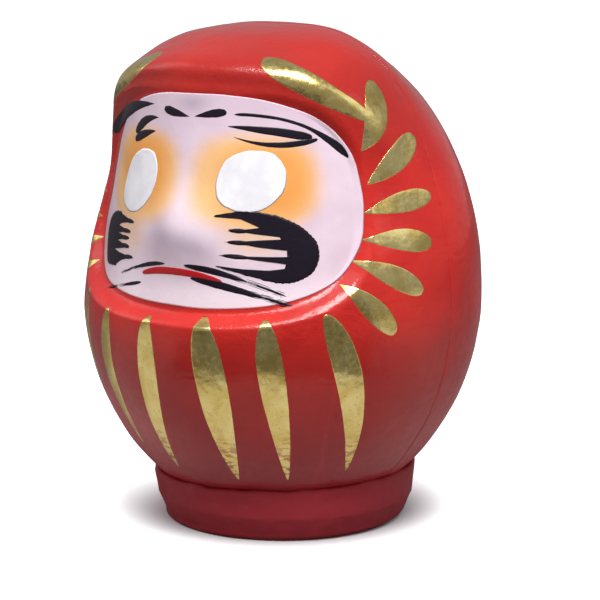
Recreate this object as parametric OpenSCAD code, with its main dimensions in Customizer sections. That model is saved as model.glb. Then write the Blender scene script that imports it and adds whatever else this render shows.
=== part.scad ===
// Daruma doll: a hollow paper shell on a weighted foot, with a sunk face and gold foil strokes.
// Up is +Z, the face looks along -Y, and the origin is the middle of the underside.
// A place on the skin is written [angle, height]: degrees round from the nose, towards the doll's
// own left (+X), and millimetres above the underside.

/* [Body] */
// Height of the whole doll
doll_h = 140; // [138:0.5:146]
// Radius at the widest height
belly_r = 56.8; // [55:0.1:60]
// Height of the widest place
belly_z = 64.3; // [62:0.1:67]
// Roundness of the back of the crown
back_p = 2.13; // [2:0.01:2.4]
// Fullness of the back of the crown
back_q = 1.95; // [1.85:0.01:2.2]
// Squareness of the front of the hood
front_p = 3.03; // [2.6:0.01:3.4]
// Fullness of the front of the hood
front_q = 3.15; // [2.8:0.01:3.4]
// Wall of the paper shell
shell_t = 1.8; // [1.2:0.1:2.4]

/* [Face] */
// Half the width of the sunk face, in degrees round the body
face_half_a = 55; // [50:1:60]
// Half the height of the sunk face
face_half_z = 28.5; // [26:0.5:30]
// Middle height of the sunk face
face_z = 95; // [93:0.5:97]
// How square the corners of the face are
face_corner = 2.8; // [2.4:0.1:3.2]
// Distance of the face from the axis at its top
face_top_r = 43.8; // [42.5:0.1:44.5]
// How much the face runs out as it goes down
face_slope = 0.146; // [0.12:0.002:0.155]
// How far the nose stands out of the face
nose_h = 3.3; // [2:0.1:4.5]
// How far the hood is drawn in beside the face
cheek_in = 5.8; // [4:0.1:6.5]
// How far the ridge of the hood stands out over the face
hood_roll = 3.2; // [0:0.1:3.6]

/* [Foot] */
// Height of the paper collar round the foot
foot_h = 15; // [13:0.5:17]
// Radius of the collar at its top
foot_top_r = 37.5; // [37.2:0.1:39]
// Radius of the collar at its bottom
foot_low_r = 34.6; // [34.4:0.1:36]
// Thickness of the card that closes the underside
card_t = 1.2; // [0.8:0.1:1.6]

/* [Paint and foil] */
// Thickness of the white coat on the face
coat_t = 0.2; // [0.1:0.05:0.4]
// Height of a painted stroke
paint_t = 0.2; // [0.1:0.05:0.4]
// Thickness of a foil stroke
foil_t = 0.2; // [0.1:0.05:0.4]
// Width of the paper strip over the joint of the two halves
strip_w = 9; // [6:0.5:12]
// Thickness of that strip
strip_t = 0.4; // [0.3:0.05:0.6]

/* [Hidden] */

red = [0.80, 0.13, 0.10];
pale_pink = [0.93, 0.86, 0.89];
chalk = [0.95, 0.94, 0.95];
ink = [0.10, 0.07, 0.12];
gold = [0.80, 0.68, 0.30];
paper_grey = [0.72, 0.68, 0.62];
clay = [0.62, 0.45, 0.34];

// Lower body: a ball whose lowest point would be just under the floor
low_p = 1.95;
low_q = 1.99;
low_reach = 0.3;
// Where the back profile of the crown changes to the front one, as cosines of the angle
back_ends = -0.53;
front_starts = 0.65;
// Middle height and spread of the drawn-in cheeks, and the angles where they fade away
cheek_z = 100;
cheek_spread = 23;
cheek_fade = [60, 100];
// Nose: angle spread, middle height, height spread
nose_a = 12;
nose_z = 87;
nose_spread = 10;
// The wall round the sunk face, between these sizes of the face outline; under the face it runs
// out further, as a rounder lip
wall_in = 0.99;
wall_out = 1.09;
lip_out = 1.13;
lip_fade = [84, 71];
// The ridge of the hood: its size of the outline, its spread, the heights where it fades in, and
// the angles where it fades away to the sides
roll_at = 1.27;
roll_spread = 0.14;
roll_fade = [98, 112];
roll_side = [85, 30];
// Where the shell stands on the weight
shell_foot_z = 12;
// The small flat at the very top
top_flat = 0.08;
// Narrowest half-width of a stroke, at its tip
tip = 0.12;
// Sizes of the face outline between which the lift of the white coat ends
coat_fade = [0.99, 1.02];
// The white coat: the size of the face outline that it reaches, and its rings and columns
coat_size = 0.995;
coat_rings = 9;
coat_cols = 60;
// How square the eyes' outlines are
eye_corner = 2.3;
// Angles between which the front half of the shell and the back half lie, and their columns
joint_a = 90;
front_cols = 61;
back_cols = 29;
// How far under the level of the belly the strip over the joint ends, in degrees
strip_end = 54;
strip_steps = 60;

function smooth(from, to, x) =
    let (t = min(1, max(0, (x - from) / (to - from))))
    t * t * (3 - 2 * t);

// Degrees round from the nose, whichever way is shorter
function off_front(a) = abs(a > 180 ? a - 360 : a);

// Size of the face outline that passes through a place: 1 is the edge of the face
function face_size(a, z) =
    pow(pow(off_front(a) / face_half_a, face_corner)
        + pow(abs(z - face_z) / face_half_z, face_corner), 1 / face_corner);

// Radius of the crown for one pair of roundnesses; d is the depth under the skin
function crown_r(z, p, q, d) =
    (belly_r - d) * pow(max(0, 1 - pow(min(1, (z - belly_z) / (doll_h - d - belly_z)), p)), 1 / q);

function lower_r(z, d) =
    (belly_r - d) * pow(1 - pow(min(1, (belly_z - z) / (belly_z + low_reach)), low_p), 1 / low_q);

// Radius of the plain egg, before the face is sunk into it
function egg_r(a, z, d) =
    let (front = smooth(back_ends, front_starts, cos(a)))
    z < belly_z
        ? lower_r(z, d)
        : crown_r(z, back_p, back_q, d) * (1 - front) + crown_r(z, front_p, front_q, d) * front;

// Radius of the skin at a place; d is the depth under the skin
function skin_r(a, z, d = 0) =
    let (size = face_size(a, z))
    let (cheek = cheek_in * exp(-pow((z - cheek_z) / cheek_spread, 2))
                 * smooth(cheek_fade[1], cheek_fade[0], off_front(a)))
    let (roll = hood_roll * exp(-pow((size - roll_at) / roll_spread, 2))
                * smooth(roll_fade[0], roll_fade[1], z)
                * smooth(roll_side[0], roll_side[1], off_front(a)))
    let (nose = nose_h * exp(-pow(off_front(a) / nose_a, 2) - pow((z - nose_z) / nose_spread, 2)))
    let (face = face_top_r + (face_z + face_half_z - z) * face_slope + nose - d)
    let (out = wall_out + (lip_out - wall_out) * smooth(lip_fade[0], lip_fade[1], z))
    let (sunk = smooth(out, wall_in, size))
    (egg_r(a, z, d) - cheek + roll) * (1 - sunk) + face * sunk;

// The point of the skin at a place, lifted by h
function on_skin(a, z, h = 0) =
    let (r = skin_r(a, z) + h)
    [r * sin(a), -r * cos(a), z];

// The lift of a stroke: it lies on the white coat inside the face and on the red outside it
function coat_lift(a, z) = coat_t * smooth(coat_fade[1], coat_fade[0], face_size(a, z));

// Two triangles for each cell of a grid of points, rows by cols, that starts at point number s
function grid_faces(rows, cols, s, flip) = [
    for (i = [0 : rows - 2], j = [0 : cols - 2], half = [0, 1])
        let (a = s + i * cols + j)
        let (b = a + cols)
        let (f = half == 0 ? [a, b, b + 1] : [a, b + 1, a + 1])
        flip ? [f[2], f[1], f[0]] : f
];

// Two triangles for each step of a wall between two rows of point numbers
function wall_faces(out, in) = [
    for (i = [0 : len(out) - 2], half = [0, 1])
        half == 0 ? [out[i], out[i + 1], in[i + 1]] : [out[i], in[i + 1], in[i]]
];

// A thin patch between two grids of the same size, the outer one first
module patch(outer, inner) {
    rows = len(outer);
    cols = len(outer[0]);
    n = rows * cols;
    low = [for (j = [0 : cols - 1]) j];
    high = [for (j = [cols - 1 : -1 : 0]) (rows - 1) * cols + j];
    left = [for (i = [rows - 1 : -1 : 0]) i * cols];
    right = [for (i = [0 : rows - 1]) i * cols + cols - 1];
    points = concat([for (row = outer) each row], [for (row = inner) each row]);
    polyhedron(points, concat(
        grid_faces(rows, cols, 0, false),
        grid_faces(rows, cols, n, true),
        wall_faces(low, [for (k = low) k + n]),
        wall_faces(right, [for (k = right) k + n]),
        wall_faces(high, [for (k = high) k + n]),
        wall_faces(left, [for (k = left) k + n])
    ));
}

// A thin round patch: rings of the same length, from a middle point outwards
module disc_patch(mid, rings, lift) {
    cols = len(rings[0]);
    count = len(rings);
    n = 1 + cols * count;
    places = concat([mid], [for (ring = rings) each ring]);
    top = [for (p = places) on_skin(p[0], p[1], lift[1])];
    under = [for (p = places) on_skin(p[0], p[1], lift[0])];
    fan = [for (j = [0 : cols - 1]) [0, 1 + (j + 1) % cols, 1 + j]];
    bands = [
        for (i = [0 : count - 2], j = [0 : cols - 1], half = [0, 1])
            let (a = 1 + i * cols + j)
            let (b = 1 + i * cols + (j + 1) % cols)
            half == 0 ? [a, b, b + cols] : [a, b + cols, a + cols]
    ];
    faces = concat(fan, bands);
    edge = [for (j = [cols : -1 : 0]) 1 + (count - 1) * cols + j % cols];
    polyhedron(concat(top, under), concat(
        faces,
        [for (f = faces) [f[2] + n, f[1] + n, f[0] + n]],
        [for (f = wall_faces(edge, [for (k = edge) k + n])) [f[2], f[1], f[0]]]
    ));
}

// A rounded outline round a middle place, as rings of places
function round_rings(mid, half, corner, count, cols, lean = 0) = [
    for (i = [1 : count]) [
        for (j = [0 : cols - 1])
            let (t = 360 * j / cols)
            let (reach = pow(pow(abs(cos(t)), corner) + pow(abs(sin(t)), corner), -1 / corner))
            let (u = half[0] * cos(t) * reach * i / count)
            let (v = half[1] * sin(t) * reach * i / count)
            [mid[0] + u + lean * v, mid[1] + v]
    ]
];

// Half-width along a stroke, 0 to 1 of its length, for each way of laying the brush down: pointed
// at both ends, round at the end, pressed down two thirds along, and thin until pressed down late
function leaf(t) = pow(max(0, sin(180 * pow(t, 0.77))), 0.72);
function drop(t) = 2.6 * t * sqrt(max(0, 1 - t));
function swell(t) = t < 0.7 ? t / 0.7 : sqrt(max(0, 1 - pow((t - 0.7) / 0.31, 2)));
function late(t) = (0.38 + 0.62 * smooth(0.55, 0.9, t)) * sqrt(max(0, 1 - pow(t, 14)));
function half_width(kind, t) =
    kind == "leaf" ? leaf(t) : kind == "drop" ? drop(t) : kind == "late" ? late(t) : swell(t);

function curve(p, t) = p[0] * pow(1 - t, 2) + p[1] * 2 * t * (1 - t) + p[2] * t * t;

// Millimetres of skin for each step of a place, at that place
function in_mm(a, z, step) = [step[0] * skin_r(a, z) * PI / 180, step[1]];

// A place moved sideways off a stroke's middle line, by w millimetres
function aside(p, t, w) =
    let (c = curve(p, t))
    let (along = in_mm(c[0], c[1], curve(p, min(1, t + 0.02)) - curve(p, max(0, t - 0.02))))
    let (across = [-along[1], along[0]] * (w / norm(along)))
    [c[0] + across[0] / (skin_r(c[0], c[1]) * PI / 180), c[1] + across[1]];

// A brush or foil stroke along a curve of three places, w wide each side; kind picks its outline
module stroke(p, w, kind, base, thick, steps = 10) {
    width = function (t) w * half_width(kind, t) + tip;
    grid = [
        for (i = [0 : steps]) [
            for (side = [1, 0, -1])
                aside(p, i / steps, side * width(i / steps))
        ]
    ];
    place = function (c, h) on_skin(c[0], c[1], h + (base == "coat" ? coat_lift(c[0], c[1]) : 0));
    patch([for (row = grid) [for (c = row) place(c, thick)]],
          [for (row = grid) [for (c = row) place(c, 0)]]);
}

module paint(p, w, kind) {
    color(ink) stroke(p, w, kind, "coat", paint_t);
}

module foil(p, w, kind) {
    color(gold) stroke(p, w, kind, "red", foil_t);
}

// Heights of the rings of the shell, closer together round the edges of the face and at the top
shell_rows = concat(
    [for (z = [shell_foot_z : 8 : 58]) z],
    [for (z = [60 : 2 : 70]) z],
    [for (z = [73.5 : 3.5 : 115.5]) z],
    [for (z = [118 : 2 : 132]) z],
    [for (f = [0.035, 0.025, 0.016, 0.009, 0.004]) doll_h * (1 - f)],
    [doll_h - top_flat]
);

// Half of the hollow shell, between two angles
module half_shell(from, to, cols) {
    inner_of = function (z) z <= belly_z ? z
        : belly_z + (z - belly_z) * (doll_h - shell_t - belly_z) / (doll_h - belly_z);
    rows = len(shell_rows);
    n = rows * cols;
    angle = function (j) from + (to - from) * j / (cols - 1);
    outer = [for (z = shell_rows, j = [0 : cols - 1]) on_skin(angle(j), z)];
    inner = [
        for (z = shell_rows, j = [0 : cols - 1])
            let (zi = inner_of(z))
            let (r = skin_r(angle(j), zi, shell_t))
            [r * sin(angle(j)), -r * cos(angle(j)), zi]
    ];
    low = [for (j = [0 : cols - 1]) j];
    last = (rows - 1) * cols;
    top = [for (j = [0 : cols - 1]) last + j];
    right = [for (i = [0 : rows - 1]) i * cols + cols - 1];
    left = [for (i = [rows - 1 : -1 : 0]) i * cols];
    arch = concat(right, left);
    polyhedron(concat(outer, inner), concat(
        grid_faces(rows, cols, 0, false),
        grid_faces(rows, cols, n, true),
        [[for (j = [cols - 1 : -1 : 0]) top[j]]],
        [[for (k = top) k + n]],
        wall_faces(low, [for (k = low) k + n]),
        wall_faces(arch, [for (k = arch) k + n])
    ));
}

module shell_front() {
    color(red) half_shell(-joint_a, joint_a, front_cols);
}

module shell_back() {
    color(red) half_shell(joint_a, 360 - joint_a, back_cols);
}

// Distance from the middle of the belly to the skin, in the plane of the joint, found by halving
function joint_reach(up, y, low, high, n) =
    let (mid = (low + high) / 2)
    let (x = mid * cos(up))
    let (z = belly_z + mid * sin(up))
    let (a = atan2(x, -y))
    n == 0 ? mid
    : z < doll_h && norm([x, y]) < skin_r(a, z) ? joint_reach(up, y, mid, high, n - 1)
    : joint_reach(up, y, low, mid, n - 1);

// The paper strip glued over the joint, from one side of the foot over the crown to the other
module seam_strip() {
    halvings = 18;
    turn = 180 + 2 * strip_end;
    ups = [for (i = [0 : strip_steps]) 180 + strip_end - i * turn / strip_steps];
    row = function (up, h) [
        for (y = [strip_w / 2, 0, -strip_w / 2])
            let (d = joint_reach(up, y, 30, 90, halvings) + h)
            [d * cos(up), y, belly_z + d * sin(up)]
    ];
    color(red) patch([for (up = ups) row(up, strip_t)], [for (up = ups) row(up, 0)]);
}

// Where the foot's three rings meet each other and the shell
fit_gap = 0.1;
weight_r = 33.1;
boss_r = 29.5;
boss_top_z = 16;
boss_slope = 3;
edge_round = 1.2;
wrap_lip = 0.4;

// The clay weight that makes the doll stand up again
module foot_weight() {
    color(clay) rotate_extrude($fn = 96)
        polygon([
            [0, card_t], [weight_r, card_t], [weight_r, shell_foot_z], [boss_r, shell_foot_z],
            [boss_r, boss_top_z - boss_slope], [boss_r - boss_slope, boss_top_z], [0, boss_top_z]
        ]);
}

// The paper collar round the foot, with a rounded lower edge and a thin upper edge
module foot_wrap() {
    lower_edge = [
        for (t = [0 : 15 : 90])
            [foot_low_r - edge_round + edge_round * sin(t), edge_round - edge_round * cos(t)]
    ];
    neck_r = egg_r(0, foot_h, 0) + fit_gap;
    color(red) rotate_extrude($fn = 96)
        polygon(concat(
            [[weight_r, 0]],
            lower_edge,
            [[foot_top_r, foot_h - 2 * wrap_lip], [foot_top_r - wrap_lip, foot_h],
             [neck_r, foot_h], [weight_r, shell_foot_z]]
        ));
}

module base_card() {
    color(paper_grey) cylinder(h = card_t, r = weight_r, $fn = 96);
}

module face_coat() {
    half = [face_half_a, face_half_z] * coat_size;
    rings = round_rings([0, face_z], half, face_corner, coat_rings, coat_cols);
    color(pale_pink) disc_patch([0, face_z], rings, [0, coat_t]);
}

module eye_white(mid, half, lean) {
    color(chalk) disc_patch(mid, round_rings(mid, half, eye_corner, 4, 24, lean),
        [coat_t, coat_t + paint_t]);
}

module eye_white_left() { eye_white([21.9, 101.2], [11.3, 8.1], 0.1); }
module eye_white_right() { eye_white([-22.8, 99.2], [9.3, 8.7], 0.25); }

module brow_mark_left() { paint([[1, 117.4], [7, 118.4], [13, 118.8]], 1.1, "swell"); }
module brow_mark_right() { paint([[-1, 117.3], [-7, 117.9], [-12.5, 119]], 1.1, "swell"); }
module brow_top_left() { paint([[15.7, 118.4], [40, 119.5], [54, 107.2]], 1.1, "late"); }
module brow_top_right() { paint([[-18, 119.8], [-35, 119.5], [-56, 110]], 1.8, "swell"); }
module brow_middle_left() { paint([[13.5, 115.2], [28, 115], [42, 112.6]], 1.3, "leaf"); }
module brow_middle_right() { paint([[-15, 116.4], [-23, 116.6], [-28, 111.6]], 1.0, "swell"); }
module brow_low_left() { paint([[15.6, 112.6], [30, 109.2], [43.9, 112.3]], 0.5, "swell"); }
module brow_low_right() { paint([[-15.9, 112.9], [-22, 112.2], [-27, 110]], 0.9, "swell"); }

// Moustache: rows of three places, on its round outer edge, inside its body, and on its inner
// edge, which is cut into points. Places are given for one side; a side of -1 mirrors them.
module moustache(rows, side) {
    part = function (p, q, k, n) p + (q - p) * k / n;
    grid = [
        for (row = rows) [
            for (k = [0 : 3]) part(row[0], row[1], k, 3),
            for (k = [1 : 3]) part(row[1], row[2], k, 3)
        ]
    ];
    ordered = side > 0 ? grid : [for (i = [len(grid) - 1 : -1 : 0]) grid[i]];
    place = function (c, h) on_skin(side * c[0], c[1], h + coat_t);
    color(ink) patch([for (row = ordered) [for (c = row) place(c, paint_t)]],
                     [for (row = ordered) [for (c = row) place(c, 0)]]);
}

// From the tip of the lower point, round the outside, to the tip of the upper point
module moustache_left() {
    moustache([
        [[12, 79.0], [11.8, 79.15], [11.5, 79.3]],
        [[20, 77.2], [20, 77.9], [20, 78.6]],
        [[28, 75.4], [29, 77.2], [28, 78.4]],
        [[31.5, 74.9], [33, 77.5], [32.6, 78.9]],
        [[34.5, 74.9], [34.2, 79.4], [33, 80.1]],
        [[36.5, 75.3], [34.4, 80.3], [24, 80.9]],
        [[38.5, 76], [34.5, 80.9], [13.7, 82]],
        [[40.5, 77], [34.5, 81.4], [24, 81.9]],
        [[42, 78.4], [34.5, 82], [33.4, 81.8]],
        [[43.2, 80.6], [34.4, 83.2], [33.2, 83.5]],
        [[43.5, 82.2], [34.2, 83.9], [24, 84.3]],
        [[43.3, 84.2], [33.9, 84.6], [15.1, 85.5]],
        [[42.5, 86], [33.5, 85.3], [24, 86.1]],
        [[41.3, 87.2], [33, 86.1], [31.5, 86.4]],
        [[39.5, 88.7], [32.4, 86.8], [31, 87]],
        [[37.5, 90], [31, 87.4], [24, 87.6]],
        [[35.3, 91], [29.5, 88], [15.5, 88.5]],
        [[32.5, 92], [27.5, 88.8], [22, 89]],
        [[29, 92.9], [26.2, 89.7], [25, 89.3]],
        [[20, 93.6], [19.2, 92.2], [19, 91.4]],
        [[10.8, 92.3], [10.6, 92.1], [10.5, 91.9]]
    ], 1);
}

module moustache_right() {
    moustache([
        [[31, 75.3], [31.3, 75.6], [31, 75.9]],
        [[34, 75], [33, 76.5], [28, 77.2]],
        [[37.5, 74.8], [34.5, 77.6], [21.5, 78.7]],
        [[40, 75.2], [34.8, 78.8], [30, 79.1]],
        [[41.5, 76.4], [34.8, 79.7], [34, 79.6]],
        [[42.6, 78.2], [34.5, 80.6], [28, 80.4]],
        [[43.3, 80], [34.3, 81.4], [24, 81.2]],
        [[43.5, 82], [34, 82.3], [32, 82.2]],
        [[43.2, 84.2], [33.8, 83.3], [24.5, 83.5]],
        [[42.4, 86], [33.8, 84.3], [32, 84.2]],
        [[41, 87.6], [33.6, 85.3], [24, 85.3]],
        [[38.5, 89], [33.5, 86.2], [32, 86.2]],
        [[36, 89.8], [33, 87], [30, 87]],
        [[33, 90], [32.5, 88], [22.5, 88]],
        [[31, 89.8], [31, 89.5], [30, 89.3]]
    ], -1);
}

module mouth_red() {
    color(red) stroke([[-15.7, 75.2], [-2, 79.2], [13, 75.2]], 1.1, "leaf", "coat", paint_t);
}

module mouth_line_left() { paint([[2, 78.9], [16, 77.8], [33.2, 71.6]], 0.6, "leaf"); }
module mouth_line_right() { paint([[-3, 78.9], [-14, 78.6], [-27, 73.8]], 0.5, "leaf"); }
module chin_line_left() { paint([[5, 75.4], [18, 73.8], [34.5, 69.2]], 0.7, "leaf"); }
module chin_line_right() { paint([[-12.9, 73.3], [-23, 71.2], [-34.5, 68.9]], 0.5, "leaf"); }

// Chest strokes, from the doll's right to its left: top, bend and bottom places, and half-width
chest = [
    [[-41.5, 68], [-46, 54], [-49.5, 26], 3.0],
    [[-26, 65], [-30, 48], [-28, 25], 2.9],
    [[-8.5, 65], [-10, 45], [-12, 20], 3.3],
    [[9.2, 66], [12.5, 46], [14.5, 18.5], 4.5],
    [[27.2, 66], [28.5, 50], [34, 19], 3.6],
    [[43.4, 67.5], [52.5, 52], [56, 21], 3.8]
];

module chest_foil(i) {
    foil([chest[i][0], chest[i][1], chest[i][2]], chest[i][3], "leaf");
}

// Strokes of the fan beside the face, from the crown down, for the doll's left side: the pointed
// end by the face, the bend, the round end, and the half-width
fan = [
    [[68, 114], [49.5, 124], [24, 132.3], 3.2],
    [[57.5, 109], [65, 115], [67, 127], 4.2],
    [[59, 100], [69, 105], [80.5, 112], 3.5],
    [[57.3, 92.7], [69, 95], [82.5, 96], 2.8],
    [[56, 85.8], [68, 86], [79.5, 83.5], 3.0],
    [[52.5, 80.5], [63, 77.5], [74, 71], 3.0],
    [[48.5, 74.7], [55.5, 70.5], [64, 61], 3.1]
];

module fan_foil(i, side) {
    places = [for (k = [0 : 2]) [side * fan[i][k][0], fan[i][k][1]]];
    foil(places, fan[i][3], "drop");
}

shell_front();
shell_back();
seam_strip();
foot_weight();
foot_wrap();
base_card();
face_coat();
eye_white_left();
eye_white_right();
brow_mark_left();
brow_mark_right();
brow_top_left();
brow_top_right();
brow_middle_left();
brow_middle_right();
brow_low_left();
brow_low_right();
moustache_left();
moustache_right();
mouth_red();
mouth_line_left();
mouth_line_right();
chin_line_left();
chin_line_right();
chest_foil(0);  // chest_foil_1
chest_foil(1);  // chest_foil_2
chest_foil(2);  // chest_foil_3
chest_foil(3);  // chest_foil_4
chest_foil(4);  // chest_foil_5
chest_foil(5);  // chest_foil_6
fan_foil(0, 1);  // fan_foil_left_1
fan_foil(1, 1);  // fan_foil_left_2
fan_foil(2, 1);  // fan_foil_left_3
fan_foil(3, 1);  // fan_foil_left_4
fan_foil(4, 1);  // fan_foil_left_5
fan_foil(5, 1);  // fan_foil_left_6
fan_foil(6, 1);  // fan_foil_left_7
fan_foil(0, -1);  // fan_foil_right_1
fan_foil(1, -1);  // fan_foil_right_2
fan_foil(2, -1);  // fan_foil_right_3
fan_foil(3, -1);  // fan_foil_right_4
fan_foil(4, -1);  // fan_foil_right_5
fan_foil(5, -1);  // fan_foil_right_6
fan_foil(6, -1);  // fan_foil_right_7
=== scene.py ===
"""The looks of a papier-mache daruma doll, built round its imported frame."""
import math

import bpy
import numpy as np
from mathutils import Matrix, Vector


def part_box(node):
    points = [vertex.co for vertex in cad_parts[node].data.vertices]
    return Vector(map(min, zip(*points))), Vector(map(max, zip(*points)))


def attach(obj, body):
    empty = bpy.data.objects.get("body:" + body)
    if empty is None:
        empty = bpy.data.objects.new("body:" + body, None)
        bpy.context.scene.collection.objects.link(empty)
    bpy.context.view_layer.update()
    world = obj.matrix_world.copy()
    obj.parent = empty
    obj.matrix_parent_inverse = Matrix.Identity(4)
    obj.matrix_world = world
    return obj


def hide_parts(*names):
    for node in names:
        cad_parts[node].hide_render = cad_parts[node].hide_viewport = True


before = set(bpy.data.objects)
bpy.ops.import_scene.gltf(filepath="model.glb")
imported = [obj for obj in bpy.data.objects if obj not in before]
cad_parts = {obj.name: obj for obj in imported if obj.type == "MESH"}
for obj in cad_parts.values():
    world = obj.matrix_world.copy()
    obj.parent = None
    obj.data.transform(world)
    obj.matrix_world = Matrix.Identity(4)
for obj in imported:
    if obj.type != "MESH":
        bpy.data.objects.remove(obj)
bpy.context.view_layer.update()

MM = 0.001

# ---------------------------------------------------------------- sums that run as numbers or as nodes


class Sum:
    """A number socket of a node tree, which ordinary arithmetic turns into Math nodes."""

    def __init__(self, tree, socket):
        self.tree = tree
        self.socket = socket

    def op(self, name, *others):
        made = self.tree.nodes.new("ShaderNodeMath")
        made.operation = name
        for slot, value in zip(made.inputs, (self, *others)):
            join(self.tree, value, slot)
        return Sum(self.tree, made.outputs[0])

    def __add__(self, other):
        return self.op("ADD", other)

    def __radd__(self, other):
        return self.op("ADD", other)

    def __mul__(self, other):
        return self.op("MULTIPLY", other)

    def __rmul__(self, other):
        return self.op("MULTIPLY", other)

    def __sub__(self, other):
        return self.op("SUBTRACT", other)

    def __rsub__(self, other):
        return (self * -1.0).op("ADD", other)

    def __truediv__(self, other):
        return self.op("DIVIDE", other)

    def __abs__(self):
        return self.op("ABSOLUTE")


def join(tree, value, socket):
    """Feeds a Sum, a socket or a plain value into a node's input."""
    if isinstance(value, Sum):
        tree.links.new(value.socket, socket)
    elif isinstance(value, bpy.types.NodeSocket):
        tree.links.new(value, socket)
    else:
        socket.default_value = value


def power(x, p):
    if isinstance(x, Sum):
        return x.op("POWER", p)
    return np.power(x, p)


def exp(x):
    return x.op("EXPONENT") if isinstance(x, Sum) else np.exp(x)


def highest(x, y):
    return x.op("MAXIMUM", y) if isinstance(x, Sum) else np.maximum(x, y)


def lowest(x, y):
    return x.op("MINIMUM", y) if isinstance(x, Sum) else np.minimum(x, y)


def cos_deg(x):
    if isinstance(x, Sum):
        return (x * (math.pi / 180)).op("COSINE")
    return np.cos(np.radians(x))


def sin_deg(x):
    if isinstance(x, Sum):
        return (x * (math.pi / 180)).op("SINE")
    return np.sin(np.radians(x))


def smooth(start, end, x):
    """0 at start, 1 at end, with a soft step between."""
    t = lowest(highest((x - start) / (end - start), 0.0), 1.0)
    return t * t * (3.0 - 2.0 * t)


# ---------------------------------------------------------------- the doll's form, as its CAD states it
# A place on the skin is an angle in degrees round from the nose, towards the doll's own left, and a
# height in millimetres. Lift is millimetres out of the skin.

SKIN_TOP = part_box("shell_front")[1].z / MM
BELLY_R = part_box("shell_back")[1].x / MM
FOOT_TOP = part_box("foot_wrap")[1].z / MM
SHELL_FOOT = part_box("shell_front")[0].z / MM
CARD_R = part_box("base_card")[1].x / MM
COLLAR_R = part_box("foot_wrap")[1].x / MM
DOLL_H = SKIN_TOP + 0.08
BELLY_Z = 64.3
BACK_P, BACK_Q = 2.13, 1.95
FRONT_P, FRONT_Q = 3.03, 3.15
LOW_P, LOW_Q, LOW_REACH = 1.95, 1.99, 0.3
FACE_A, FACE_Z, FACE_HALF, FACE_CORNER = 55.0, 95.0, 28.5, 2.8
FACE_TOP_R, FACE_SLOPE = 43.8, 0.146
NOSE_H, NOSE_A, NOSE_Z, NOSE_SPREAD = 3.3, 12.0, 87.0, 10.0
CHEEK_IN, CHEEK_Z, CHEEK_SPREAD = 5.8, 100.0, 23.0
ROLL_H, ROLL_AT, ROLL_SPREAD = 3.2, 1.27, 0.14
WALL_IN, WALL_OUT, LIP_OUT = 0.99, 1.09, 1.13
# Where one form gives way to the next: cosines round from the nose, degrees off it, and heights
FRONT_FADE, CHEEK_FADE, ROLL_SIDE = (-0.53, 0.65), (100, 60), (85, 30)
ROLL_FADE, LIP_FADE = (98, 112), (84, 71)
SHELL_T = 1.8


def off_front(a):
    """Degrees round from the nose, whichever way is shorter."""
    return 180.0 - abs(abs(a) - 180.0)


def face_size(a, z):
    """Which size of the face's outline passes through a place: 1 is its edge."""
    across = power(off_front(a) / FACE_A, FACE_CORNER)
    up = power(abs(z - FACE_Z) / FACE_HALF, FACE_CORNER)
    return power(across + up, 1 / FACE_CORNER)


def crown(z, p, q, lift):
    t = highest(lowest((z - BELLY_Z) / (DOLL_H - BELLY_Z + lift), 1.0), 0.0)
    return (lift + BELLY_R) * power(highest(1.0 - power(t, p), 0.0), 1 / q)


def lower(z, lift):
    t = highest(lowest((BELLY_Z - z) / (BELLY_Z + LOW_REACH), 1.0), 0.0)
    return (lift + BELLY_R) * power(1.0 - power(t, LOW_P), 1 / LOW_Q)


def skin_radius(a, z, lift=0.0):
    """Radius of the skin in millimetres; the same sums as the CAD, as numbers or as nodes."""
    front = smooth(*FRONT_FADE, cos_deg(a))
    above = smooth(BELLY_Z - 0.01, BELLY_Z + 0.01, z)
    top = crown(z, BACK_P, BACK_Q, lift) * (1.0 - front) + crown(z, FRONT_P, FRONT_Q, lift) * front
    egg = top * above + lower(z, lift) * (1.0 - above)
    size = face_size(a, z)
    cheek = exp(power(abs(z - CHEEK_Z) / CHEEK_SPREAD, 2.0) * -1.0)
    cheek = cheek * smooth(*CHEEK_FADE, off_front(a)) * CHEEK_IN
    roll = exp(power(abs(size - ROLL_AT) / ROLL_SPREAD, 2.0) * -1.0) * smooth(*ROLL_FADE, z) * ROLL_H
    roll = roll * smooth(*ROLL_SIDE, off_front(a))
    bump = power(off_front(a) / NOSE_A, 2.0) + power(abs(z - NOSE_Z) / NOSE_SPREAD, 2.0)
    face = (FACE_Z + FACE_HALF - z) * FACE_SLOPE + exp(bump * -1.0) * NOSE_H + FACE_TOP_R + lift
    out = smooth(*LIP_FADE, z) * (LIP_OUT - WALL_OUT) + WALL_OUT
    sunk = smooth(out, WALL_IN, size)
    return (egg - cheek + roll) * (1.0 - sunk) + face * sunk


# ---------------------------------------------------------------- geometry node trees


def new_tree(name, inputs):
    """A geometry node tree with named inputs: returns it and its group input and output nodes."""
    tree = bpy.data.node_groups.new(name, "GeometryNodeTree")
    tree.interface.new_socket("Geometry", in_out="INPUT", socket_type="NodeSocketGeometry")
    tree.interface.new_socket("Geometry", in_out="OUTPUT", socket_type="NodeSocketGeometry")
    for label, kind, value in inputs:
        socket = tree.interface.new_socket(label, in_out="INPUT", socket_type="NodeSocket" + kind)
        if value is not None:
            socket.default_value = value
    return tree, tree.nodes.new("NodeGroupInput"), tree.nodes.new("NodeGroupOutput")


def node(tree, kind, **values):
    """A node with its inputs set or linked by name; names with a dot-free lower case are settings."""
    made = tree.nodes.new(kind)
    for key, value in values.items():
        if hasattr(made, key):
            setattr(made, key, value)
    for key, value in values.items():
        if not hasattr(made, key):
            join(tree, value, made.inputs[key.replace("_", " ")])
    return made


def combine(tree, x, y, z):
    made = tree.nodes.new("ShaderNodeCombineXYZ")
    for value, socket in zip((x, y, z), made.inputs):
        join(tree, value, socket)
    return made.outputs[0]


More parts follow.
